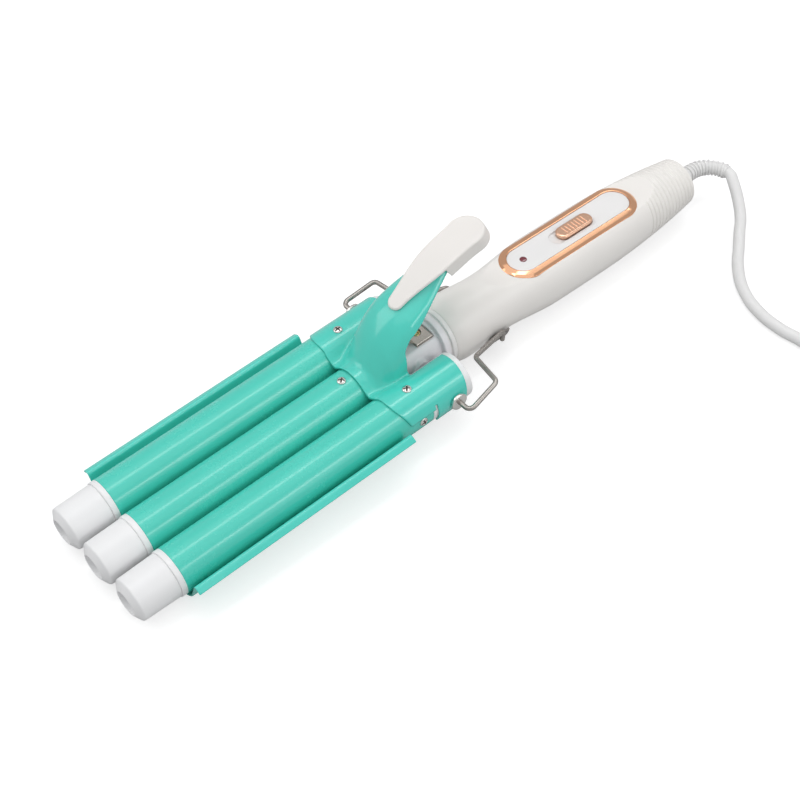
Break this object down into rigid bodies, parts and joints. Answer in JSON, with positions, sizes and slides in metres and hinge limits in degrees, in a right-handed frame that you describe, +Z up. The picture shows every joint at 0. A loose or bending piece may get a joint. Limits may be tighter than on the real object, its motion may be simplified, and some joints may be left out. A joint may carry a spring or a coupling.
{
  "type": "hair waver",
  "caption": "Three-barrel hair waver with a sprung thumb clamp, folded lower jaw, wire rest stand, slide switch and mains cord.",
  "frame": {"origin": "on the resting surface, under the middle of the tool without its cord", "axes": "+X towards the barrel tips, +Y towards the side the cord leaves on, +Z up"},
  "size_m": [0.4559, 0.282, 0.0864],
  "materials": {
    "handle_plastic": "satin gloss",
    "collar_plastic": "satin gloss",
    "neck_plastic": "satin",
    "copper_plate": "polished plating",
    "panel_plastic": "gloss",
    "red_lens": "clear gloss",
    "black_plastic": "matt",
    "board_laminate": "satin",
    "lead_rubber": "matt",
    "mint_enamel": "gloss enamel",
    "cap_plastic": "satin gloss",
    "heater_metal": "extruded",
    "plated_steel": "zinc plated",
    "spring_steel": "drawn",
    "brass_screw": "turned",
    "dark_enamel": "satin",
    "cord_rubber": "satin",
    "plug_plastic": "satin gloss",
    "pin_metal": "nickel plated"
  },
  "bodies": {
    "handle": {"handle_shell": "handle_plastic", "handle_collar": "collar_plastic", "neck": "neck_plastic", "panel_bezel": "copper_plate", "control_panel": "panel_plastic", "indicator_lens": "red_lens", "power_switch": "black_plastic", "circuit_board": "board_laminate", "board_components": "black_plastic", "indicator_lamp": "red_lens", "mains_leads": "lead_rubber", "heater_leads": "lead_rubber", "middle_barrel": "mint_enamel", "middle_tip_cap": "cap_plastic", "middle_heater": "heater_metal", "lower_jaw": "mint_enamel", "jaw_rivets": "plated_steel", "middle_barrel_screw": "plated_steel", "hinge_screws": "plated_steel", "lever_spring": "spring_steel", "spring_screw": "brass_screw", "strain_relief": "cord_rubber", "power_cord": "cord_rubber", "cord_coil": "cord_rubber", "plug_lead": "cord_rubber", "plug_body": "plug_plastic", "plug_pins": "pin_metal"},
    "clamp": {"clamp_lever": "mint_enamel", "thumb_cover": "cap_plastic", "left_barrel": "mint_enamel", "right_barrel": "mint_enamel", "left_tip_cap": "cap_plastic", "right_tip_cap": "cap_plastic", "left_heater": "heater_metal", "right_heater": "heater_metal", "left_end_plug": "cap_plastic", "right_end_plug": "cap_plastic", "clamp_screws": "plated_steel"},
    "stand": {"stand_wires": "spring_steel", "stand_foot": "dark_enamel"},
    "switch": {"switch_button": "copper_plate"}
  },
  "joints": [
    {"name": "clamp_hinge", "type": "hinge", "parent": "handle", "child": "clamp", "pos_m": [0.00548, 0, 0.02053], "axis": [0, -1, 0], "range_deg": [0, 25], "stiffness_Nm_per_rad": 1, "springref_deg": -28.65, "deforming": ["lever_spring"]},
    {"name": "stand_hinge", "type": "hinge", "parent": "handle", "child": "stand", "pos_m": [0.00548, 0, 0.02053], "axis": [0, -1, 0], "range_deg": [0, 88]},
    {"name": "switch_slide", "type": "slide", "parent": "handle", "child": "switch", "axis": [1, 0, 0.0074], "range_m": [0, 0.0045]}
  ]
}
